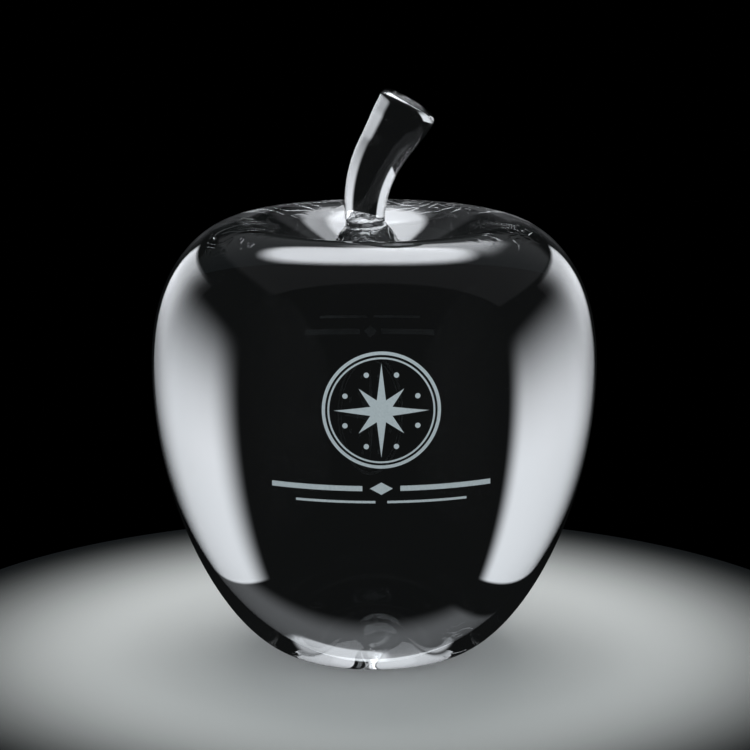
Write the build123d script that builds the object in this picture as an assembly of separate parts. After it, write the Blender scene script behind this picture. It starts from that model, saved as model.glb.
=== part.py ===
from build123d import *
import math
import os

# Solid clear glass apple: a dimpled body, and a bent stem set hot in the dimple.
# Millimetres and degrees. +Z is up, and the origin is the centre of the flat base.

# Body, a solid of revolution about Z
body_width = 80.0
belly_height = 52.7
base_width = 30.4
base_flare_angle = 9.0
crest_width = 47.8
crest_height = 78.8
dimple_depth = 8.0

# How far each curve of the body's outline runs along its tangent before it turns
base_run = 11.2
belly_run_down = 26.3
belly_run_up = 21.4
crest_run_out = 3.7
crest_run_in = 9.0
dimple_run = 9.0

# Foot of the stem: a rolled lip, and under it a collar where the hot glass ran out on
# the dimple. The stem is measured from a level this far below the crest.
stem_drop = 4.9
foot_width = 11.5
foot_offset = 1.25
foot_tilt = 3.5
foot_slope = 51.0
foot_root = 1.0
lip_radius = 0.9
lip_height = 1.2
flare_radius = 1.6

# Shaft of the stem: it leans left out of its foot, bends right and ends in a sheared face
shaft_offset = 1.3
shaft_lean = 4.2
shaft_rise = 4.3
bend_radius = 23.2
bend_angle = 34.8
tail_length = 9.6
waist_width = 7.0
end_width = 11.2
end_rounding = 1.5

# Places along the shaft, and the share of its growth from waist to end width there
place_shares = (0.0, 0.17, 0.32, 0.5, 0.67, 0.85, 1.0)
growth_shares = (0.0, 0.0, 0.18, 0.37, 0.54, 0.84, 1.0)

dimple_floor = crest_height - dimple_depth
stem_level = crest_height - stem_drop


def make_body():
    """The gather of glass: flat base, full belly, rounded crest and dimple."""
    base = base_width / 2
    belly = body_width / 2
    crest = crest_width / 2
    flare = math.radians(base_flare_angle)
    wall = Bezier(
        (base, 0, 0),
        (base + base_run * math.cos(flare), 0, base_run * math.sin(flare)),
        (belly, 0, belly_height - belly_run_down),
        (belly, 0, belly_height),
    )
    shoulder = Bezier(
        (belly, 0, belly_height),
        (belly, 0, belly_height + belly_run_up),
        (crest + crest_run_out, 0, crest_height),
        (crest, 0, crest_height),
    )
    dimple = Bezier(
        (crest, 0, crest_height),
        (crest - crest_run_in, 0, crest_height),
        (dimple_run, 0, dimple_floor),
        (0, 0, dimple_floor),
    )
    centre = Line((0, 0, dimple_floor), (0, 0, 0))
    flat = Line((0, 0, 0), (base, 0, 0))
    outline = Wire([wall, shoulder, dimple, centre, flat])
    return revolve(Face(outline), Axis.Z)


def make_foot():
    """A low cone with a rolled lip, on a collar that flares down to the dimple, all tilted a little."""
    floor = dimple_floor - stem_level
    bottom = floor - foot_root
    slope = math.radians(foot_slope)
    rim = foot_width / 2
    neck = rim - lip_radius
    lip_x = neck + lip_radius * math.sin(slope)
    lip_z = lip_height + lip_radius * math.cos(slope)
    peak = lip_z + lip_x * math.tan(slope)
    lip_base = lip_height - lip_radius
    flare = lip_base - floor
    lip = ThreePointArc((neck, 0, lip_base), (rim, 0, lip_height), (lip_x, 0, lip_z))
    cone = Line(lip @ 1, (0, 0, peak))
    collar = Plane.XZ * JernArc((neck, lip_base), (0, -1), flare, 90)
    root = Polyline((0, 0, peak), (0, 0, bottom), (neck + flare, 0, bottom), collar @ 1)
    outline = Wire([lip, cone, *root.edges(), collar])
    foot = revolve(Face(outline), Axis.Z)
    return Pos(-foot_offset, 0, stem_level) * Rot(0, foot_tilt, 0) * foot


def make_shaft():
    """Round sections that grow along a line, a bend and a straight tail."""
    start = (-shaft_offset, stem_level)
    rise = PolarLine(start, shaft_rise, 90 + shaft_lean)
    bend = JernArc(rise @ 1, rise % 1, bend_radius, -bend_angle)
    tail = Line(bend @ 1, bend @ 1 + tail_length * (bend % 1))
    centre_line = Plane.XZ * Wire([rise, bend, tail])
    sections = []
    for place, growth in zip(place_shares, growth_shares):
        width = waist_width + growth * (end_width - waist_width)
        station = Plane(centre_line @ place, (0, 1, 0), centre_line % place)
        sections.append(station * Circle(width / 2))
    return loft(sections)


def make_stem(body):
    """Foot and shaft in one, with a flared seam, a fire-polished end and the dimple's shape below."""
    foot = make_foot()
    shaft = make_shaft()
    stem = foot + shaft
    stem = fillet(new_edges(foot, shaft, combined=stem), flare_radius)
    end_rim = stem.edges().sort_by(Axis.Z)[-1]
    stem = fillet(end_rim, end_rounding)
    return stem - body


def write_parts():
    os.makedirs("parts", exist_ok=True)
    body = make_body()
    stem = make_stem(body)
    for name, piece in {"apple_body": body, "stem": stem}.items():
        piece.label = name
        export_step(piece, f"parts/{name}.step")
        print(name, "solids:", len(piece.solids()), "volume in mm3:", round(piece.volume))


write_parts()
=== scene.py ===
"""A clear glass apple with a bent stem and a frosted mark, laid out as an add-on and run as a script."""
import math

import bmesh
import bpy
from bpy.props import FloatProperty, FloatVectorProperty, IntProperty, PointerProperty
from mathutils import Matrix, Vector


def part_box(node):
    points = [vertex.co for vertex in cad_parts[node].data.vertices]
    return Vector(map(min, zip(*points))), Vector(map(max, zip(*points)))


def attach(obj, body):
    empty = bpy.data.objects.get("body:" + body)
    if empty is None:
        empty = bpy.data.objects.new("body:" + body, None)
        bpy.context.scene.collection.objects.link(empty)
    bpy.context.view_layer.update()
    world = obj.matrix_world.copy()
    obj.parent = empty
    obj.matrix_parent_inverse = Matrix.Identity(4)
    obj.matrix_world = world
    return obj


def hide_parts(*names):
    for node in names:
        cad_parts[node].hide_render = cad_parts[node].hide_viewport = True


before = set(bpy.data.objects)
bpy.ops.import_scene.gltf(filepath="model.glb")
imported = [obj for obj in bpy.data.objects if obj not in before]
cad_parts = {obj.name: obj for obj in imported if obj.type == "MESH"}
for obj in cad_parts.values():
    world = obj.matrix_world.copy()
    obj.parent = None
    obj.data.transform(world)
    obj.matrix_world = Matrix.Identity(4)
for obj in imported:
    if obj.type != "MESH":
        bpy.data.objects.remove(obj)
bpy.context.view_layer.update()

bl_info = {
    "name": "Glass apple",
    "version": (1, 0, 0),
    "blender": (4, 5, 0),
    "location": "3D View > Sidebar > Glass apple",
    "description": "Makes a solid clear glass apple, its bent stem, its frosted mark and a plain studio",
    "category": "Add Mesh",
}

BODY_LOW, BODY_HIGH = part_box("apple_body")
MM = 0.001

# Points that are closer than this, in metres, are one
MERGE = 1e-7

# How much slimmer the glass is drawn than its solid, so that the mark stays inside the solid's box
MARK_ROOM = 0.06 * MM

# Rings of the stem: on the collar, the lip, the cone, the seam, the shaft and the rounded end
COLLAR_STEPS = 8
LIP_STEPS = 10
CONE_STEPS = 4
SEAM_STEPS = 5
SHAFT_STEPS = 48
ROUNDING_STEPS = 10

# How far the collar has turned outwards where it meets the dimple
COLLAR_TURN = math.radians(58)

# Rings within the rim of the underside and of the sheared end, as shares of the rim's radius
UNDER_SHARES = (0.25, 0.5, 0.75)
END_SHARES = (0.75, 0.5, 0.25)

# Shares of the shaft's length, and of its growth from waist to end width there
GROWTH_SHARES = ((0.0, 0.0), (0.17, 0.0), (0.32, 0.18), (0.5, 0.37), (0.67, 0.54), (0.85, 0.84), (1.0, 1.0))

# Edges that are sharper than these stay creased
STEM_CREASE = math.radians(35)
MARK_CREASE = math.radians(40)

# The mark's two rings: outer and inner edge, as shares of the mark's radius
RINGS = ((1.0, 0.945), (0.905, 0.875))
RING_SIDES = 96

# The star's corners in turn, long point, notch, short point and notch, as shares of the mark's radius
STAR_REACH = (0.8, 0.2, 0.54, 0.2)
STAR_SIDES = 16

# The dots between the star's points: how far out they sit and their radius, as shares of the mark's radius
DOTS = 8
DOT_PLACE = 0.66
DOT_SIZE = 0.045
DOT_SIDES = 16

# Bars of the row: share of the row's drop, half the thickness, half the gap between the two, and how far
# they reach as a share of half the row's width
BARS = ((1.0, 0.45 * MM, 3.2 * MM, 1.0), (1.18, 0.2 * MM, 1.0 * MM, 0.78))

# Half the width and half the height of the diamond between the bars
DIAMOND = (1.9 * MM, 1.1 * MM)

# How far down the mark may reach, as a share of the row's drop
MARK_FOOT = 1.3

# How far the floor and the shine of the table lie below the base
FLOOR_DROP = 0.1 * MM
SHINE_DROP = 0.05 * MM
FLOOR_SIDES = 256

# Side cards: how far out they stand, how far behind or in front of the apple they start and end, and
# where they start and end in height
CARD_OUT = 272 * MM
CARD_NEAR = 91 * MM
CARD_FAR = 632 * MM
CARD_Z = (-165 * MM, 206 * MM)

# How long the fades are at the ends of the side cards, from the lower end of an axis to its upper end
BACK_SOFT_Z = (205 * MM, 8 * MM)
FRONT_SOFT_LOW = 110 * MM
FAR_SOFT = {"left": 117 * MM, "right": 200 * MM}

# Where along Y the cards behind the apple would be dark, and where they are bright
BACK_NEAR_FADE = (62 * MM, 265 * MM)

# Brighter side cards that only reflections see
SHINE_OUT = 271 * MM
SHINE_Y = (110 * MM, 650 * MM)
SHINE_SOFT_Y = (190 * MM, 90 * MM)
SHINE_Z = (-30 * MM, 218 * MM)
SHINE_SOFT_Z = (140 * MM, 22 * MM)

# Height of the overhead cards over the crest. Their spans and fades are shares of it
OVERHEAD = 600 * MM

# The softbox is an oval on a square card, and it fades from bright to dark along Y
SOFTBOX_MIDDLE = (-0.05, 0.55)
SOFTBOX_HALF = (0.6, 0.46)
SOFTBOX_CARD = 0.75
SOFTBOX_TURN = math.radians(-10)
SOFTBOX_DARK = 1.6
SOFTBOX_BRIGHT = 0.2

# Where an oval glow ends and where it is full, as shares of its half size
OVAL_EDGE = (1.1, 0.7)

# The tail of light behind the softbox, just above it
TAIL_X = (-0.15, 0.75)
TAIL_SOFT_X = (0.25, 0.35)
TAIL_Y = (0.5, 1.55)
TAIL_SOFT_Y = (0.4, 0.35)
TAIL_RAISED = 2 * MM

# The most that rays through the glass see of the softbox and of its tail
SOFTBOX_MOST = 0.85
TAIL_MOST = 0.6

# Light that spills on the ceiling round the softbox
SPILL_X = (-1.1, 1.8)
SPILL_SOFT_X = (0.14, 0.14)
SPILL_Y = (-0.38, 3.1)
SPILL_SOFT_Y = (0.042, 1.12)
SPILL_RAISED = 5 * MM

# Strips in front of the softbox, which show low in the glass: spans in X and Y, and brightness
STRIPS = {
    "middle": ((-1.0, 1.0), (-0.66, -0.18), 0.75),
    "left": ((-1.35, -0.95), (-0.95, -0.45), 0.6),
    "right": ((0.9, 1.35), (-0.9, -0.5), 0.5),
}
STRIP_SOFT_X = (0.14, 0.14)

# The point that the camera looks at, the width in millimetres that its lens is measured by, and how close
# to it a thing may be and still be seen
CAMERA_TARGET = Vector((0.13, 0, 50.54)) * MM
SENSOR_WIDTH = 36
CLOSEST_SEEN = 10 * MM


def length(name, description, default):
    """A length that a user may change, in metres."""
    return FloatProperty(name=name, description=description, default=default, unit="LENGTH", precision=5)


def angle(name, description, degrees):
    """An angle that a user may change."""
    return FloatProperty(name=name, description=description, default=math.radians(degrees), subtype="ANGLE")


def share(name, description, default):
    """A plain number without a unit."""
    return FloatProperty(name=name, description=description, default=default, precision=4)


def count(name, description, default, least, most):
    """A whole number."""
    return IntProperty(name=name, description=description, default=default, min=least, max=most)


def colour(name, description, default):
    """A colour that a user may change."""
    return FloatVectorProperty(
        name=name, description=description, default=default, subtype="COLOR", min=0, max=1,
    )


class BodyShape(bpy.types.PropertyGroup):
    """The outline of the glass body, which is turned round the upright axis, and its ripples."""
    width: length("Width", "Across the belly", BODY_HIGH.x - BODY_LOW.x - MARK_ROOM)
    crest_height: length("Crest height", "From the base to the crest round the dimple", BODY_HIGH.z)
    belly_height: length("Belly height", "From the base to the widest ring", 52.7 * MM)
    base_width: length("Base width", "Across the ground flat", 30.4 * MM)
    base_flare: angle("Base flare", "Slope of the wall where it leaves the flat", 9)
    crest_width: length("Crest width", "Across the crest ring", 47.8 * MM)
    dimple_depth: length("Dimple depth", "From the crest down to the dimple's floor", 8.0 * MM)
    base_run: length("Base run", "How far the wall follows the flare before it turns", 11.2 * MM)
    belly_run_down: length("Belly run down", "How far the wall stays upright below the belly", 26.3 * MM)
    belly_run_up: length("Belly run up", "How far the shoulder stays upright above the belly", 21.4 * MM)
    crest_run_out: length("Crest run out", "How far the crest stays level on its outer side", 3.7 * MM)
    crest_run_in: length("Crest run in", "How far the crest stays level on its inner side", 9.0 * MM)
    dimple_run: length("Dimple run", "How far the dimple's floor stays level", 9.0 * MM)
    sides: count("Sides", "Steps round the body", 256, 16, 512)
    rows: count("Rows", "Steps along each curve of the outline", 48, 4, 64)
    ripples: share("Ripples", "Ripples per metre on the shoulders", 70)
    ripple_squeeze: share("Ripple squeeze", "How much finer the ripples are upwards than across", 1.3)
    ripple_depth: length("Ripple depth", "Depth of the ripples on the shoulders", 0.065 * MM)


class StemShape(bpy.types.PropertyGroup):
    """The foot and the shaft of the stem, and the ripples on its foot."""
    drop: length("Drop", "How far below the crest the stem is measured from", 4.9 * MM)
    foot_width: length("Foot width", "Across the lip of the foot", 11.5 * MM)
    foot_offset: length("Foot offset", "How far the foot's middle is left of the dimple's", 1.25 * MM)
    foot_tilt: angle("Foot tilt", "How far the foot tips to the right", 3.5)
    foot_slope: angle("Foot slope", "Slope of the cone above the lip", 51)
    lip_radius: length("Lip radius", "Radius of the foot's rolled lip", 0.9 * MM)
    lip_height: length("Lip height", "Height of the lip's middle", 1.2 * MM)
    seam_radius: length("Seam radius", "Radius of the hollow between the cone and the shaft", 1.6 * MM)
    sink: length("Sink", "How deep the foot is let into the body, where the two are fused", 0.1 * MM)
    shaft_offset: length("Shaft offset", "How far the shaft starts left of the dimple's middle", 1.3 * MM)
    lean: angle("Lean", "How far the shaft leans left out of its foot", 4.2)
    rise: length("Rise", "Straight length before the bend", 4.3 * MM)
    bend_radius: length("Bend radius", "Radius of the bend to the right", 23.2 * MM)
    bend_angle: angle("Bend angle", "How far the shaft turns to the right", 34.8)
    tail: length("Tail", "Straight length after the bend", 9.6 * MM)
    waist_width: length("Waist width", "Across the thinnest place of the shaft", 7.0 * MM)
    end_width: length("End width", "Across the sheared end", 11.2 * MM)
    end_rounding: length("End rounding", "Radius of the fire-polished edge of the end", 1.5 * MM)
    sides: count("Sides", "Steps round the stem", 128, 16, 256)
    ripples: share("Ripples", "Ripples per metre on the foot", 90)
    ripple_squeeze: share("Ripple squeeze", "How much finer the ripples are upwards than across", 1.2)
    ripple_depth: length("Ripple depth", "Depth of the ripples on the foot", 0.04 * MM)


class MarkShape(bpy.types.PropertyGroup):
    """The frosted mark on the front of the body."""
    middle_x: length("Middle X", "How far right of the middle the mark sits", 1.2 * MM)
    middle_z: length("Middle Z", "Height of the middle of the ring", 53.0 * MM)
    ring_width: length("Ring width", "Across the outer ring", 20.0 * MM)
    row_width: length("Row width", "Across the row below the ring", 37.0 * MM)
    row_drop: length("Row drop", "From the middle of the ring down to the row", 13.6 * MM)
    thickness: length("Thickness", "Depth of the frosted skin", 0.1 * MM)
    proud: length("Proud", "How far the frosted skin stands out of the polish", 0.02 * MM)
    cell: length("Cell", "Largest step of the mark along the curved glass", 0.9 * MM)
    grain: share("Grain", "Grains per metre of the frost", 2600)
    grain_depth: length("Grain depth", "Depth of the grain of the frost", 0.05 * MM)
    dark_frost: colour("Dark frost", "Colour of the frost where its grain is dark", (0.52, 0.585, 0.615))
    pale_frost: colour("Pale frost", "Colour of the frost where its grain is pale", (0.72, 0.775, 0.80))


class StudioSetting(bpy.types.PropertyGroup):
    """The floor, the lights and the camera."""
    floor_width: length("Floor width", "Across the round floor", 180 * MM)
    # The pool of light on the floor is painted into the floor's colour; no lamp casts it
    painted_pool_width: length("Pool width", "Across the pool of light on the floor", 92 * MM)
    floor_colour: colour("Floor colour", "Colour of the floor", (0.62, 0.62, 0.61))
    # Painted shade: the floor's colour beyond the painted pool of light, which the glass also sees in place
    # of the floor
    painted_shade_colour: colour("Dark colour", "Colour of the floor's far edge", (0.008, 0.009, 0.0095))
    floor_in_glass: share("Floor in glass", "How much of the floor's paleness shows in the glass", 0.02)
    light_colour: colour("Light colour", "Colour of the softbox and the cards", (0.915, 0.95, 1.0))
    fill_colour: colour("Fill colour", "Colour of the even light that soft surfaces get", (0.9, 0.98, 1.0))
    fill: share("Fill", "Level of the even light that soft surfaces get", 0.62)
    dark_level: share("Dark level", "Level of the dark surround in the glass", 0.0053)
    lamp_power: share("Lamp power", "Watts of the lamp behind the overhead softbox", 3.0)
    softbox_level: share("Softbox level", "How bright the overhead softbox looks in the glass", 11.0)
    tail_level: share("Tail level", "How bright the tail of light behind the softbox looks", 3.0)
    spill_level: share("Spill level", "How bright the ceiling round the softbox looks", 0.11)
    card_level: share("Card level", "How bright the side cards look in the glass", 0.86)
    front_card_level: share("Front card level", "How bright the cards by the camera look in the glass", 0.5)
    shine_level: share("Shine level", "How bright the cards that only reflections see are", 1.9)
    table_shine: share("Table shine", "How bright the table under the base looks in the glass", 0.2)
    table_shine_width: length("Table shine width", "Across the shine of the table under the base", 26 * MM)
    camera_distance: length("Camera distance", "From the camera to the point that it looks at", 549.76 * MM)
    camera_elevation: angle("Camera elevation", "How far the camera looks down", 12.27)
    camera_lens: share("Camera lens", "Focal length in millimetres", 146.45)


def mesh_object(bm, name):
    """Closes a bmesh into an object at the origin, with its faces outwards and smooth."""
    bmesh.ops.remove_doubles(bm, verts=bm.verts, dist=MERGE)
    bmesh.ops.recalc_face_normals(bm, faces=bm.faces)
    for face in bm.faces:
        face.smooth = True
    mesh = bpy.data.meshes.new(name)
    bm.to_mesh(mesh)
    bm.free()
    piece = bpy.data.objects.new(name, mesh)
    bpy.context.scene.collection.objects.link(piece)
    return piece


def body_outline(shape):
    """The outline from the edge of the flat round to the middle of the dimple, in XZ, as a mesh."""
    base = shape.base_width / 2
    belly = shape.width / 2
    crest = shape.crest_width / 2
    floor = shape.crest_height - shape.dimple_depth
    wall_x = base + shape.base_run * math.cos(shape.base_flare)
    wall_z = shape.base_run * math.sin(shape.base_flare)
    knots = (
        ((0, 0), (base, 0), (wall_x, wall_z)),
        ((belly, shape.belly_height - shape.belly_run_down), (belly, shape.belly_height),
         (belly, shape.belly_height + shape.belly_run_up)),
        ((crest + shape.crest_run_out, shape.crest_height), (crest, shape.crest_height),
         (crest - shape.crest_run_in, shape.crest_height)),
        ((shape.dimple_run, floor), (0, floor), (-shape.dimple_run, floor)),
    )
    curve = bpy.data.curves.new("outline", "CURVE")
    curve.dimensions = "3D"
    curve.resolution_u = shape.rows
    spline = curve.splines.new("BEZIER")
    spline.bezier_points.add(len(knots) - 1)
    for point, (before, at, after) in zip(spline.bezier_points, knots):
        point.handle_left_type = "FREE"
        point.handle_right_type = "FREE"
        point.handle_left = (before[0], 0, before[1])
        point.co = (at[0], 0, at[1])
        point.handle_right = (after[0], 0, after[1])
    holder = bpy.data.objects.new("outline", curve)
    outline = bpy.data.meshes.new_from_object(holder)
    bpy.data.objects.remove(holder)
    bpy.data.curves.remove(curve)
    return outline


def outline_pairs(shape):
    """Rising pairs of height and radius up the wall, and of radius and height out of the dimple."""
    outline = body_outline(shape)
    points = [(vert.co.x, vert.co.z) for vert in outline.vertices]
    bpy.data.meshes.remove(outline)
    highest = max(range(len(points)), key=lambda index: points[index][1])
    wall = [(z, x) for x, z in points[:highest + 1]]
    return wall, sorted(points[highest:])


def look_up(pairs, value):
    """Reads a list of rising pairs, and between them."""
    for (low, at_low), (high, at_high) in zip(pairs, pairs[1:]):
        if value <= high:
            part = (value - low) / max(high - low, MERGE)
            return at_low + max(part, 0) * (at_high - at_low)
    return pairs[-1][1]


class APPLE_OT_body(bpy.types.Operator):
    """Make the glass body by turning its outline round the upright axis"""
    bl_idname = "apple.make_body"
    bl_label = "Make the body"

    def execute(self, context):
        shape = context.scene.body_shape
        outline = body_outline(shape)
        bm = bmesh.new()
        bm.from_mesh(outline)
        bpy.data.meshes.remove(outline)
        rim = min(bm.verts, key=lambda vert: vert.co.z)
        centre = bm.verts.new((0, 0, 0))
        bm.edges.new((centre, rim))
        bmesh.ops.spin(
            bm, geom=bm.verts[:] + bm.edges[:], cent=(0, 0, 0), axis=(0, 0, 1), dvec=(0, 0, 0),
            angle=math.tau, steps=shape.sides, use_merge=True, use_duplicate=False,
        )
        body = mesh_object(bm, "glass_apple_body")
        body.data.set_sharp_from_angle(angle=shape.base_flare / 2)
        body.data.materials.append(polished_glass("body_glass", shape, on_the_shoulders))
        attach(body, "root")
        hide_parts("apple_body")
        return {"FINISHED"}


def smooth_step(value, low, high):
    """Rises from 0 to 1 between two values, level at both ends."""
    part = min(max((value - low) / (high - low), 0), 1)
    return part * part * (3 - 2 * part)


def shaft_path(shape, start, along):
    """Where the shaft's centre line is at a length along it, and how far it tips to the right there."""
    up = Vector((-math.sin(shape.lean), 0, math.cos(shape.lean)))
    if along <= shape.rise:
        return start + along * up, -shape.lean
    side = Vector((math.cos(shape.lean), 0, math.sin(shape.lean)))
    turned = min((along - shape.rise) / shape.bend_radius, shape.bend_angle)
    tilt = turned - shape.lean
    centre = start + shape.rise * up + shape.bend_radius * side
    on_bend = centre - shape.bend_radius * Vector((math.cos(tilt), 0, -math.sin(tilt)))
    past = max(along - shape.rise - shape.bend_radius * shape.bend_angle, 0)
    return on_bend + past * Vector((math.sin(tilt), 0, math.cos(tilt))), tilt


def foot_outline(shape, floor):
    """Pairs of radius and height up the collar from the dimple, round the lip and up the cone."""
    lip_end = math.pi / 2 - shape.foot_slope
    neck = shape.foot_width / 2 - shape.lip_radius
    lip_base = shape.lip_height - shape.lip_radius
    flare = lip_base - floor
    pairs = []
    for step in range(COLLAR_STEPS):
        turn = COLLAR_TURN * (1 - step / COLLAR_STEPS)
        pairs.append((neck + flare * (1 - math.cos(turn)), lip_base - flare * math.sin(turn)))
    for step in range(LIP_STEPS + 1):
        turn = -math.pi / 2 + (math.pi / 2 + lip_end) * step / LIP_STEPS
        on_lip = shape.lip_height + shape.lip_radius * math.sin(turn)
        pairs.append((neck + shape.lip_radius * math.cos(turn), on_lip))
    lip_x, lip_z = pairs[-1]
    waist = shape.waist_width / 2
    meet_z = lip_z + (lip_x - waist) * math.tan(shape.foot_slope)
    reach = shape.seam_radius * math.tan(lip_end / 2)
    cone_x = waist + reach * math.cos(shape.foot_slope)
    cone_z = meet_z - reach * math.sin(shape.foot_slope)
    for step in range(1, CONE_STEPS):
        part = step / CONE_STEPS
        pairs.append((lip_x + (cone_x - lip_x) * part, lip_z + (cone_z - lip_z) * part))
    for step in range(SEAM_STEPS + 1):
        turn = lip_end * (1 - step / SEAM_STEPS)
        on_seam = meet_z + reach - shape.seam_radius * math.sin(turn)
        pairs.append((waist + shape.seam_radius * (1 - math.cos(turn)), on_seam))
    return pairs


def stem_stations(shape, level, floor):
    """The middle, tilt and radius of each ring of the stem, from the foot to the sheared end."""
    foot = Vector((-shape.foot_offset, 0, level))
    start = Vector((-shape.shaft_offset, 0, level))
    foot_up = Vector((math.sin(shape.foot_tilt), 0, math.cos(shape.foot_tilt)))
    outline = foot_outline(shape, floor - level)
    rim, rim_height = outline[0]
    stations = [(foot + rim_height * foot_up, shape.foot_tilt, rim * part) for part in UNDER_SHARES]
    blend_low = shape.lip_height
    blend_high = outline[-1][1]
    for radius, height in outline:
        on_shaft, shaft_tilt = shaft_path(shape, start, height)
        part = smooth_step(height, blend_low, blend_high)
        on_foot = foot + height * foot_up
        tilt = shape.foot_tilt + part * (shaft_tilt - shape.foot_tilt)
        stations.append((on_foot.lerp(on_shaft, part), tilt, radius))
    total = shape.rise + shape.bend_radius * shape.bend_angle + shape.tail
    last = total - shape.end_rounding
    waist = shape.waist_width / 2
    growth = shape.end_width / 2 - waist
    for step in range(1, SHAFT_STEPS + 1):
        along = blend_high + (last - blend_high) * step / SHAFT_STEPS
        place, tilt = shaft_path(shape, start, along)
        stations.append((place, tilt, waist + growth * look_up(GROWTH_SHARES, along / total)))
    for step in range(1, ROUNDING_STEPS + 1):
        turn = math.pi / 2 * step / ROUNDING_STEPS
        along = last + shape.end_rounding * math.sin(turn)
        place, tilt = shaft_path(shape, start, along)
        full = waist + growth * look_up(GROWTH_SHARES, along / total)
        stations.append((place, tilt, full - shape.end_rounding * (1 - math.cos(turn))))
    end, tilt, radius = stations[-1]
    stations.extend((end, tilt, radius * part) for part in END_SHARES)
    return stations


def draw_rings(bm, stations, sides):
    """Extrudes one ring through all the stations, and gives back the points of each ring."""
    ring = bmesh.ops.create_circle(bm, cap_ends=False, segments=sides, radius=1)["verts"]
    rings = []
    placed = Matrix.Identity(4)
    for place, tilt, radius in stations:
        target = Matrix.Translation(place) @ Matrix.Rotation(tilt, 4, "Y") @ Matrix.Scale(radius, 4)
        if rings:
            around = set(ring)
            edges = [edge for edge in {edge for vert in ring for edge in vert.link_edges}
                     if around.issuperset(edge.verts)]
            drawn = bmesh.ops.extrude_edge_only(bm, edges=edges)["geom"]
            ring = [item for item in drawn if isinstance(item, bmesh.types.BMVert)]
        bmesh.ops.transform(bm, matrix=target @ placed.inverted(), verts=ring)
        rings.append(ring)
        placed = target
    return rings


class APPLE_OT_stem(bpy.types.Operator):
    """Make the stem by drawing rings up from its foot and along its bent centre line"""
    bl_idname = "apple.make_stem"
    bl_label = "Make the stem"

    def execute(self, context):
        body = context.scene.body_shape
        shape = context.scene.stem_shape
        level = body.crest_height - shape.drop
        floor = body.crest_height - body.dimple_depth
        _, dimple = outline_pairs(body)
        bm = bmesh.new()
        rings = draw_rings(bm, stem_stations(shape, level, floor), shape.sides)
        for ring in rings[:len(UNDER_SHARES) + 1]:
            for vert in ring:
                vert.co.z = look_up(dimple, vert.co.xy.length) - shape.sink
        bmesh.ops.holes_fill(bm, edges=[edge for edge in bm.edges if edge.is_boundary], sides=0)
        stem = mesh_object(bm, "glass_stem")
        stem.data.set_sharp_from_angle(angle=STEM_CREASE)
        stem.data.materials.append(polished_glass("stem_glass", shape, near_the_foot))
        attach(stem, "root")
        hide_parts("stem")
        return {"FINISHED"}


def flat_ring(bm, outer, inner):
    """A flat ring round the origin."""
    edges = set()
    for radius in (outer, inner):
        circle = bmesh.ops.create_circle(bm, cap_ends=False, segments=RING_SIDES, radius=radius)["verts"]
        edges.update(edge for vert in circle for edge in vert.link_edges)
    bmesh.ops.bridge_loops(bm, edges=list(edges))


def flat_star(bm, radius):
    """A flat star of four long and four short points round the origin."""
    star = bmesh.ops.create_circle(bm, cap_ends=True, segments=STAR_SIDES, radius=1)["verts"]
    for vert in star:
        corner = round(math.atan2(vert.co.y, vert.co.x) / math.tau * STAR_SIDES)
        vert.co = vert.co.normalized() * radius * STAR_REACH[corner % len(STAR_REACH)]


def flat_dots(bm, radius):
    """Flat dots in a ring, between the points of the star."""
    size = DOT_SIZE * radius
    for step in range(DOTS):
        turn = math.tau * (step + 0.5) / DOTS
        place = Matrix.Translation(DOT_PLACE * radius * Vector((math.cos(turn), math.sin(turn), 0)))
        bmesh.ops.create_circle(bm, cap_ends=True, segments=DOT_SIDES, radius=size, matrix=place)


def flat_row(bm, half, row_drop):
    """A flat row of two pairs of bars, with a diamond between the upper two."""
    for drop, thick, gap, reach in BARS:
        span = (reach * half - gap) / 2
        for side in (-1, 1):
            place = Matrix.Translation((side * (gap + span), -drop * row_drop, 0))
            size = Matrix.Diagonal((span, thick, 1, 1))
            bmesh.ops.create_grid(bm, x_segments=1, y_segments=1, size=1, matrix=place @ size)
    place = Matrix.Translation((0, -row_drop, 0)) @ Matrix.Diagonal((*DIAMOND, 1, 1))
    bmesh.ops.create_circle(bm, cap_ends=True, segments=4, radius=1, matrix=place)


def cut_across(bm, start, end, normal, cell):
    """Cuts a flat mesh across in even steps, so that it can follow the curved glass."""
    for step in range(1, int((end - start) / cell) + 1):
        place = Vector(normal) * (start + step * cell)
        bmesh.ops.bisect_plane(bm, geom=bm.verts[:] + bm.edges[:] + bm.faces[:], dist=MERGE,
                               plane_co=place, plane_no=normal)


def flat_mark(shape):
    """The whole mark, flat in XY and cut into small steps, as a bmesh."""
    ring = shape.ring_width / 2
    half = shape.row_width / 2
    bm = bmesh.new()
    flat_star(bm, ring)
    for outer, inner in RINGS:
        flat_ring(bm, ring * outer, ring * inner)
    flat_dots(bm, ring)
    flat_row(bm, half, shape.row_drop)
    cut_across(bm, -half, half, (1, 0, 0), shape.cell)
    cut_across(bm, -MARK_FOOT * shape.row_drop, ring, (0, 1, 0), shape.cell)
    return bm


class APPLE_OT_mark(bpy.types.Operator):
    """Make the frosted mark as a thin skin on the front of the body"""
    bl_idname = "apple.make_mark"
    bl_label = "Make the mark"

    def execute(self, context):
        shape = context.scene.mark_shape
        wall, _ = outline_pairs(context.scene.body_shape)
        bm = flat_mark(shape)
        for vert in bm.verts:
            x = vert.co.x + shape.middle_x
            z = vert.co.y + shape.middle_z
            radius = look_up(wall, z) + shape.proud
            vert.co = (x, -math.sqrt(radius ** 2 - x ** 2), z)
        bmesh.ops.recalc_face_normals(bm, faces=bm.faces)
        bmesh.ops.solidify(bm, geom=bm.faces[:], thickness=shape.thickness)
        mark = mesh_object(bm, "frosted_mark")
        mark.data.set_sharp_from_angle(angle=MARK_CREASE)
        mark.data.materials.append(frosted_glass("frosted_mark", shape))
        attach(mark, "root")
        return {"FINISHED"}


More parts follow.
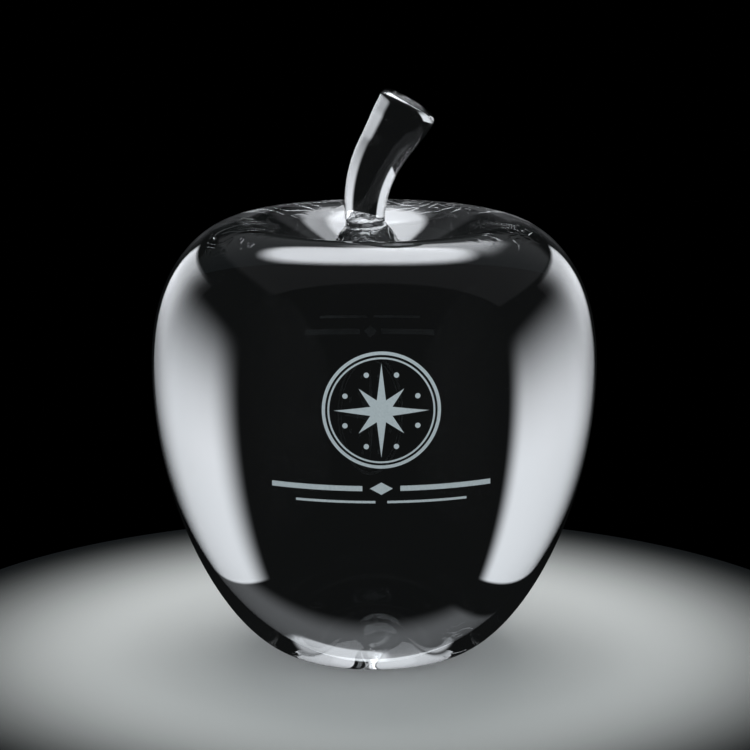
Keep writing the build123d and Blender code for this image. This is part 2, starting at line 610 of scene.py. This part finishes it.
def feed(links, value, socket):
    """Gives an input a number or a colour, or links it to an output."""
    if isinstance(value, bpy.types.NodeSocket):
        links.new(value, socket)
    else:
        socket.default_value = value


def math_node(nodes, links, operation, first, second=0.0):
    """One calculation on two numbers, each an output or plain. Some operations take only the first."""
    node = nodes.new("ShaderNodeMath")
    node.operation = operation
    feed(links, first, node.inputs[0])
    feed(links, second, node.inputs[1])
    return node.outputs[0]


def product(nodes, links, parts):
    """All the parts multiplied together."""
    total = parts[0]
    for part in parts[1:]:
        total = math_node(nodes, links, "MULTIPLY", total, part)
    return total


def between(nodes, links, source, at_none, at_full):
    """Turns a share from 0 to 1 into a number between two."""
    pick = nodes.new("ShaderNodeMapRange")
    links.new(source, pick.inputs["Value"])
    pick.inputs["To Min"].default_value = at_none
    pick.inputs["To Max"].default_value = at_full
    return pick.outputs[0]


def soft_edge(nodes, links, source, dark, bright):
    """Rises smoothly from 0 where the source is dark to 1 where it is bright."""
    fade = nodes.new("ShaderNodeMapRange")
    fade.interpolation_type = "SMOOTHSTEP"
    links.new(source, fade.inputs["Value"])
    fade.inputs["From Min"].default_value = dark
    fade.inputs["From Max"].default_value = bright
    return fade.outputs[0]


def mixed(nodes, links, factor, first, second):
    """A mix of two colours, each an output or plain."""
    mix = nodes.new("ShaderNodeMix")
    mix.data_type = "RGBA"
    links.new(factor, mix.inputs["Factor"])
    feed(links, first, mix.inputs["A"])
    feed(links, second, mix.inputs["B"])
    return mix.outputs["Result"]


def noise(nodes, links, place, scale, detail, distortion=0.0):
    """Smooth noise over the places that an output gives."""
    node = nodes.new("ShaderNodeTexNoise")
    links.new(place, node.inputs["Vector"])
    feed(links, scale, node.inputs["Scale"])
    node.inputs["Detail"].default_value = detail
    node.inputs["Distortion"].default_value = distortion
    return node.outputs["Fac"]


def here(nodes):
    """The place on the piece."""
    return nodes.new("ShaderNodeTexCoord").outputs["Object"]


def along_axes(nodes, links):
    """The place on the piece along each axis."""
    split = nodes.new("ShaderNodeSeparateXYZ")
    links.new(here(nodes), split.inputs[0])
    return split.outputs


def vector_length(nodes, links, vector):
    """How long a vector is."""
    node = nodes.new("ShaderNodeVectorMath")
    node.operation = "LENGTH"
    links.new(vector, node.inputs[0])
    return node.outputs["Value"]


def from_the_axis(nodes, links):
    """How far a place is from the upright axis."""
    level = nodes.new("ShaderNodeVectorMath")
    level.operation = "MULTIPLY"
    links.new(here(nodes), level.inputs[0])
    level.inputs[1].default_value = (1, 1, 0)
    return vector_length(nodes, links, level.outputs[0])


def from_the_middle(nodes, links, middle, half_size, turn=0.0):
    """How far a place is from the middle of an oval, where 1 is the oval's rim."""
    oval = nodes.new("ShaderNodeMapping")
    oval.vector_type = "TEXTURE"
    links.new(here(nodes), oval.inputs["Vector"])
    oval.inputs["Location"].default_value = middle
    oval.inputs["Rotation"].default_value = (0, 0, turn)
    oval.inputs["Scale"].default_value = half_size
    return vector_length(nodes, links, oval.outputs["Vector"])


def ray_share(nodes, links, output, at_none, at_some):
    """One number for rays that never did something on their way, and another for those that did."""
    path = nodes.new("ShaderNodeLightPath")
    return between(nodes, links, path.outputs[output], at_none, at_some)


def bumped(nodes, links, shader, height, distance):
    """Tips the shader's normal by a height."""
    bump = nodes.new("ShaderNodeBump")
    bump.inputs["Distance"].default_value = distance
    links.new(height, bump.inputs["Height"])
    links.new(bump.outputs["Normal"], shader.inputs["Normal"])


def new_material(name):
    """A material, its nodes and its links."""
    material = bpy.data.materials.new(name)
    material.use_nodes = True
    return material, material.node_tree.nodes, material.node_tree.links


def group_nodes(name, inputs, outputs):
    """A new shader node group with its sockets, and its first and last nodes."""
    group = bpy.data.node_groups.new(name, "ShaderNodeTree")
    for label, kind, value in inputs:
        socket = group.interface.new_socket(label, in_out="INPUT", socket_type=kind)
        socket.default_value = value
    for label, kind in outputs:
        group.interface.new_socket(label, in_out="OUTPUT", socket_type=kind)
    return group, group.nodes.new("NodeGroupInput"), group.nodes.new("NodeGroupOutput")


def hand_worked_glass():
    """Threads, waves and a faint tint that glass keeps from the hot work."""
    made = bpy.data.node_groups.get("hand_worked_glass")
    if made:
        return made
    group, given, result = group_nodes(
        "hand_worked_glass",
        (("Ripples per metre", "NodeSocketFloat", 150.0), ("Stretch", "NodeSocketVector", (1, 1, 1)),
         ("Rippled", "NodeSocketFloat", 1.0), ("Clear", "NodeSocketColor", (1, 1, 1, 1)),
         ("Tinted", "NodeSocketColor", (0.96, 0.98, 0.985, 1)), ("Haze", "NodeSocketFloat", 0.02)),
        (("Color", "NodeSocketColor"), ("Roughness", "NodeSocketFloat"), ("Height", "NodeSocketFloat")),
    )
    nodes, links = group.nodes, group.links
    ripples = given.outputs["Ripples per metre"]
    stretched = nodes.new("ShaderNodeMapping")
    links.new(here(nodes), stretched.inputs["Vector"])
    links.new(given.outputs["Stretch"], stretched.inputs["Scale"])
    place = stretched.outputs[0]

    # Thin threads at even steps of a noise, on waves as high as the noise
    half_spacing = 0.12
    thread_edge = 0.05
    wave_height = 1.6
    flow = noise(nodes, links, place, ripples, detail=1.0, distortion=3.0)
    off_thread = math_node(nodes, links, "PINGPONG", flow, half_spacing)
    thread = soft_edge(nodes, links, off_thread, thread_edge, 0.0)
    waves = math_node(nodes, links, "MULTIPLY", flow, wave_height)
    height = math_node(nodes, links, "ADD", thread, waves)
    masked = math_node(nodes, links, "MULTIPLY", height, given.outputs["Rippled"])
    links.new(masked, result.inputs["Height"])

    # Clouds of tint and haze, which are larger than the ripples
    cloud_share = 0.3
    tint_edge = (0.35, 0.65)
    haze_edge = (0.45, 0.8)
    cloud_scale = math_node(nodes, links, "MULTIPLY", ripples, cloud_share)
    clouds = noise(nodes, links, place, cloud_scale, detail=3)
    tint = soft_edge(nodes, links, clouds, *tint_edge)
    tinted = mixed(nodes, links, tint, given.outputs["Clear"], given.outputs["Tinted"])
    links.new(tinted, result.inputs["Color"])
    hazy = soft_edge(nodes, links, clouds, *haze_edge)
    roughness = math_node(nodes, links, "MULTIPLY", hazy, given.outputs["Haze"])
    links.new(roughness, result.inputs["Roughness"])
    return group


def polished_glass(name, shape, where):
    """Clear glass with the shape's ripples, only where the given function says."""
    material, nodes, links = new_material(name)
    shader = nodes["Principled BSDF"]
    shader.inputs["IOR"].default_value = 1.52
    shader.inputs["Transmission Weight"].default_value = 1
    worked = nodes.new("ShaderNodeGroup")
    worked.node_tree = hand_worked_glass()
    worked.inputs["Ripples per metre"].default_value = shape.ripples
    worked.inputs["Stretch"].default_value = (1, 1, shape.ripple_squeeze)
    links.new(where(nodes, links), worked.inputs["Rippled"])
    links.new(worked.outputs["Color"], shader.inputs["Base Color"])
    links.new(worked.outputs["Roughness"], shader.inputs["Roughness"])
    bumped(nodes, links, shader, worked.outputs["Height"], shape.ripple_depth)
    return material


def on_the_shoulders(nodes, links):
    """The crest beside the dimple, where the hot glass was gripped, but for a smooth stripe across it."""
    place = along_axes(nodes, links)
    stripe = 6.5 * MM
    past_stripe = math_node(nodes, links, "SUBTRACT", place["Y"], stripe)
    off_stripe = math_node(nodes, links, "ABSOLUTE", past_stripe)
    off_middle = math_node(nodes, links, "ABSOLUTE", place["X"])

    # A measure, where along it the glass is smooth, and where it is worked
    edges = (
        (place["Z"], 73 * MM, 77 * MM),
        (place["Y"], -22 * MM, -12 * MM),
        (place["Y"], 26 * MM, 16 * MM),
        (off_stripe, 2 * MM, 4.5 * MM),
        (off_middle, 30.5 * MM, 27 * MM),
        (from_the_axis(nodes, links), 17 * MM, 21 * MM),
    )
    return product(nodes, links, [soft_edge(nodes, links, *edge) for edge in edges])


def near_the_foot(nodes, links):
    """The foot of the stem, where the hot glass folded as it was laid on."""
    smooth_above = 80 * MM
    folded_below = 77.5 * MM
    return soft_edge(nodes, links, along_axes(nodes, links)["Z"], smooth_above, folded_below)


def frosted_glass(name, shape):
    """Sandblasted glass, with a fine grain in its colour, its gloss and its height."""
    material, nodes, links = new_material(name)
    shader = nodes["Principled BSDF"]
    least_rough = 0.5
    most_rough = 0.75
    grain = noise(nodes, links, here(nodes), shape.grain, detail=3)
    frost = mixed(nodes, links, grain, (*shape.dark_frost, 1), (*shape.pale_frost, 1))
    links.new(frost, shader.inputs["Base Color"])
    links.new(between(nodes, links, grain, least_rough, most_rough), shader.inputs["Roughness"])
    bumped(nodes, links, shader, grain, shape.grain_depth)
    return material


def stage_object(bm, name, material):
    """A piece of the studio, which isn't part of the apple."""
    piece = mesh_object(bm, name)
    piece.data.materials.append(material)
    return piece


def floor_surface(setting):
    """Pale board with a painted pool of light round the apple and painted shade beyond it, dim in the
    glass.
    """
    floor, nodes, links = new_material("floor")
    shader = nodes["Principled BSDF"]
    shader.inputs["Roughness"].default_value = 0.9
    shader.inputs["Specular IOR Level"].default_value = 0
    dark = (*setting.painted_shade_colour, 1)
    half = setting.floor_width / 2
    # Painted pool of light: the floor's colour is pale within the pool and painted dark towards its edge
    reach = from_the_middle(nodes, links, (0, 0, 0), (half, half, half))
    painted_pool_share = soft_edge(nodes, links, reach, 1.0, setting.painted_pool_width / setting.floor_width)
    board = mixed(nodes, links, painted_pool_share, dark, (*setting.floor_colour, 1))
    dimmed = ray_share(nodes, links, "Is Transmission Ray", 0.0, 1 - setting.floor_in_glass)
    links.new(mixed(nodes, links, dimmed, board, dark), shader.inputs["Base Color"])
    return floor


def add_floor(setting):
    """The round floor that the apple stands on."""
    bm = bmesh.new()
    radius = setting.floor_width / 2
    disc = bmesh.ops.create_circle(bm, cap_ends=True, segments=FLOOR_SIDES, radius=radius)["verts"]
    bmesh.ops.translate(bm, verts=disc, vec=(0, 0, -FLOOR_DROP))
    board = stage_object(bm, "floor", floor_surface(setting))
    board.visible_glossy = False


def glow(name, level, fades=(), most=None, first_only=False, oval=None):
    """A glow for a card, which fades along its axes and round an oval, and lets other light through.

    Rays through the glass see no more of it than most, and first_only leaves it out of later reflections.
    """
    material, nodes, links = new_material(name)
    nodes.remove(nodes["Principled BSDF"])
    emission = nodes.new("ShaderNodeEmission")
    emission.inputs["Color"].default_value = (*bpy.context.scene.studio_setting.light_colour, 1)
    over = nodes.new("ShaderNodeAddShader")
    links.new(emission.outputs[0], over.inputs[0])
    links.new(nodes.new("ShaderNodeBsdfTransparent").outputs[0], over.inputs[1])
    links.new(over.outputs[0], nodes["Material Output"].inputs["Surface"])
    parts = [level]
    if first_only:
        parts.append(ray_share(nodes, links, "Glossy Depth", 1.0, 0.0))
    if oval:
        parts.append(soft_edge(nodes, links, from_the_middle(nodes, links, *oval), *OVAL_EDGE))
    place = along_axes(nodes, links)
    for axis, dark, bright in fades:
        parts.append(soft_edge(nodes, links, place[axis], dark, bright))
    strength = product(nodes, links, parts)
    if most:
        seen = ray_share(nodes, links, "Is Transmission Ray", level, most)
        strength = math_node(nodes, links, "MINIMUM", strength, seen)
    feed(links, strength, emission.inputs["Strength"])
    return material


def card(name, corner, across, up, material):
    """A flat card from one corner and two sides, which only shows in the glass."""
    bm = bmesh.new()
    across = Vector(across)
    up = Vector(up)
    middle = Vector(corner) + across / 2 + up / 2
    basis = Matrix((across / 2, up / 2, across.cross(up).normalized())).transposed().to_4x4()
    bmesh.ops.create_grid(bm, x_segments=1, y_segments=1, size=1, matrix=Matrix.Translation(middle) @ basis)
    made = stage_object(bm, name, material)
    made.visible_camera = False
    made.visible_diffuse = False
    made.visible_shadow = False
    return made


def soft_ends(axis, span, soft):
    """Fades at both ends of a card's span. A fade is an axis, where it is dark, and where it is bright."""
    return [(axis, span[0], span[0] + soft[0]), (axis, span[1], span[1] - soft[1])]


def side_card(name, out, y_span, z_span, shine):
    """An upright card beside the apple."""
    across = (0, y_span[1] - y_span[0], 0)
    up = (0, 0, z_span[1] - z_span[0])
    return card(name, (out, y_span[0], z_span[0]), across, up, shine)


def add_back_card(setting, side, label):
    """The card beside and behind the apple."""
    name = "card_back_" + label
    far_fade = ("Y", CARD_FAR, CARD_FAR - FAR_SOFT[label])
    fades = [*soft_ends("Z", CARD_Z, BACK_SOFT_Z), ("Y", *BACK_NEAR_FADE), far_fade]
    shine = glow(name, setting.card_level, fades)
    side_card(name, side * CARD_OUT, (CARD_NEAR, CARD_FAR), CARD_Z, shine)


def add_front_card(setting, side, label):
    """The card beside the camera."""
    name = "card_front_" + label
    foot = CARD_Z[0]
    fades = [("Z", foot, foot + FRONT_SOFT_LOW), ("Y", -CARD_FAR, FAR_SOFT[label] - CARD_FAR)]
    shine = glow(name, setting.front_card_level, fades, first_only=True)
    front = side_card(name, side * CARD_OUT, (-CARD_NEAR, -CARD_FAR), CARD_Z, shine)
    front.visible_glossy = False


def add_shine_card(setting, side, label):
    """The brighter card that only reflections see."""
    name = "card_shine_" + label
    fades = soft_ends("Z", SHINE_Z, SHINE_SOFT_Z) + soft_ends("Y", SHINE_Y, SHINE_SOFT_Y)
    shine = glow(name, setting.shine_level, fades)
    reflected = side_card(name, side * SHINE_OUT, SHINE_Y, SHINE_Z, shine)
    reflected.visible_transmission = False


def add_side_cards(setting):
    """Three cards at each side of the apple."""
    for side, label in ((-1, "left"), (1, "right")):
        add_back_card(setting, side, label)
        add_front_card(setting, side, label)
        add_shine_card(setting, side, label)


def overhead_card(name, x_span, y_span, raised, shine):
    """A level card over the apple, from its spans as shares of the overhead height."""
    corner = (x_span[0] * OVERHEAD, y_span[0] * OVERHEAD, BODY_HIGH.z + OVERHEAD + raised)
    across = ((x_span[1] - x_span[0]) * OVERHEAD, 0, 0)
    up = (0, (y_span[1] - y_span[0]) * OVERHEAD, 0)
    return card(name, corner, across, up, shine)


def overhead_fades(fades):
    """Fades from shares of the overhead height to metres."""
    return [(axis, dark * OVERHEAD, bright * OVERHEAD) for axis, dark, bright in fades]


def softbox_place():
    """The middle and the half size of the softbox, in metres."""
    middle = (SOFTBOX_MIDDLE[0] * OVERHEAD, SOFTBOX_MIDDLE[1] * OVERHEAD, BODY_HIGH.z + OVERHEAD)
    return middle, (SOFTBOX_HALF[0] * OVERHEAD, SOFTBOX_HALF[1] * OVERHEAD, OVERHEAD)


def add_softbox(setting):
    """The oval softbox over the apple."""
    spans = [(middle - SOFTBOX_CARD, middle + SOFTBOX_CARD) for middle in SOFTBOX_MIDDLE]
    fades = overhead_fades([("Y", SOFTBOX_DARK, SOFTBOX_BRIGHT)])
    oval = (*softbox_place(), SOFTBOX_TURN)
    shine = glow("softbox", setting.softbox_level, fades, most=SOFTBOX_MOST, oval=oval)
    overhead_card("softbox", *spans, 0, shine)


def add_spill(setting):
    """The light that spills on the ceiling round the softbox."""
    fades = soft_ends("X", SPILL_X, SPILL_SOFT_X) + soft_ends("Y", SPILL_Y, SPILL_SOFT_Y)
    shine = glow("spill", setting.spill_level, overhead_fades(fades))
    overhead_card("spill", SPILL_X, SPILL_Y, SPILL_RAISED, shine)


def add_tail(setting):
    """The tail of light behind the softbox."""
    fades = soft_ends("Y", TAIL_Y, TAIL_SOFT_Y) + soft_ends("X", TAIL_X, TAIL_SOFT_X)
    shine = glow("tail", setting.tail_level, overhead_fades(fades), most=TAIL_MOST)
    overhead_card("tail", TAIL_X, TAIL_Y, TAIL_RAISED, shine)


def add_strips():
    """The strips in front of the softbox, which reflections don't see."""
    for label, (x_span, y_span, bright) in STRIPS.items():
        name = "strip_" + label
        shine = glow(name, bright, overhead_fades(soft_ends("X", x_span, STRIP_SOFT_X)))
        strip = overhead_card(name, x_span, y_span, 0, shine)
        strip.visible_glossy = False


def add_table_shine(setting):
    """A faint glow under the flat of the base, as a glossy table gives the light back."""
    half = setting.table_shine_width / 2
    reach = OVAL_EDGE[0] * half
    shine = glow("table_shine", setting.table_shine, oval=((0, 0, 0), (half, half, half)))
    under = card("table_shine", (-reach, -reach, -SHINE_DROP), (2 * reach, 0, 0), (0, 2 * reach, 0), shine)
    under.visible_glossy = False


def add_lamp(setting):
    """The lamp that lights the floor and the mark from the softbox, and doesn't show in the glass."""
    middle, half_size = softbox_place()
    lamp = bpy.data.lights.new("softbox_lamp", "AREA")
    lamp.shape = "RECTANGLE"
    lamp.size = 2 * half_size[0]
    lamp.size_y = 2 * half_size[1]
    lamp.energy = setting.lamp_power
    holder = bpy.data.objects.new("softbox_lamp", lamp)
    holder.location = middle
    holder.visible_camera = False
    holder.visible_glossy = False
    holder.visible_transmission = False
    bpy.context.scene.collection.objects.link(holder)


def dark_world(setting):
    """Black to the camera, nearly black in the glass, and an even light on what is soft."""
    world = bpy.data.worlds.new("studio")
    world.use_nodes = True
    nodes = world.node_tree.nodes
    links = world.node_tree.links
    shade = nodes["Background"]
    shade.inputs["Color"].default_value = (*setting.fill_colour, 1)
    reflected = ray_share(nodes, links, "Is Glossy Ray", 0.0, 1.0)
    refracted = ray_share(nodes, links, "Is Transmission Ray", 0.0, 1.0)
    in_glass = math_node(nodes, links, "MAXIMUM", reflected, refracted)
    off_camera = ray_share(nodes, links, "Is Camera Ray", 1.0, 0.0)
    unseen = math_node(nodes, links, "SUBTRACT", off_camera, in_glass)
    even = math_node(nodes, links, "MULTIPLY", unseen, setting.fill)
    surround = math_node(nodes, links, "MULTIPLY", in_glass, setting.dark_level)
    links.new(math_node(nodes, links, "ADD", even, surround), shade.inputs["Strength"])
    return world


def add_camera(setting):
    """The camera, at the height and the angle that the apple was photographed from."""
    camera = bpy.data.objects.new("camera", bpy.data.cameras.new("camera"))
    bpy.context.scene.collection.objects.link(camera)
    camera.data.lens = setting.camera_lens
    camera.data.sensor_width = SENSOR_WIDTH
    camera.data.clip_start = CLOSEST_SEEN
    tip = setting.camera_elevation
    back = Vector((0, -math.cos(tip), math.sin(tip)))
    camera.location = CAMERA_TARGET + setting.camera_distance * back
    camera.rotation_euler = (-back).to_track_quat("-Z", "Y").to_euler()
    bpy.context.scene.camera = camera


class APPLE_OT_studio(bpy.types.Operator):
    """Make the floor, the lights and the camera"""
    bl_idname = "apple.make_studio"
    bl_label = "Make the studio"

    def execute(self, context):
        scene = context.scene
        setting = scene.studio_setting
        add_floor(setting)
        add_side_cards(setting)
        add_softbox(setting)
        add_spill(setting)
        add_tail(setting)
        add_strips()
        add_table_shine(setting)
        add_lamp(setting)
        scene.world = dark_world(setting)
        add_camera(setting)
        scene.view_settings.view_transform = "Standard"
        return {"FINISHED"}


# Each step's settings on the scene, what holds them, and what makes the step
STEPS = (
    ("body_shape", BodyShape, APPLE_OT_body),
    ("stem_shape", StemShape, APPLE_OT_stem),
    ("mark_shape", MarkShape, APPLE_OT_mark),
    ("studio_setting", StudioSetting, APPLE_OT_studio),
)


class APPLE_PT_panel(bpy.types.Panel):
    """The steps of the glass apple, in order"""
    bl_idname = "APPLE_PT_panel"
    bl_label = "Glass apple"
    bl_space_type = "VIEW_3D"
    bl_region_type = "UI"
    bl_category = "Glass apple"

    def draw(self, context):
        for name, _, operator in STEPS:
            self.layout.operator(operator.bl_idname)
            settings = getattr(context.scene, name)
            for setting in settings.bl_rna.properties.keys():
                if setting not in {"rna_type", "name"}:
                    self.layout.prop(settings, setting)


CLASSES = (*(group for _, group, _ in STEPS), *(operator for _, _, operator in STEPS), APPLE_PT_panel)


def register():
    """Adds the classes, and the settings to each scene."""
    for made in CLASSES:
        bpy.utils.register_class(made)
    for name, group, _ in STEPS:
        setattr(bpy.types.Scene, name, PointerProperty(type=group))


def unregister():
    """Takes away what register adds."""
    for name, _, _ in STEPS:
        delattr(bpy.types.Scene, name)
    for made in reversed(CLASSES):
        bpy.utils.unregister_class(made)


def main():
    """Makes the whole scene."""
    register()
    bpy.ops.apple.make_body()
    bpy.ops.apple.make_stem()
    bpy.ops.apple.make_mark()
    bpy.ops.apple.make_studio()


if __name__ == "__main__":
    main()
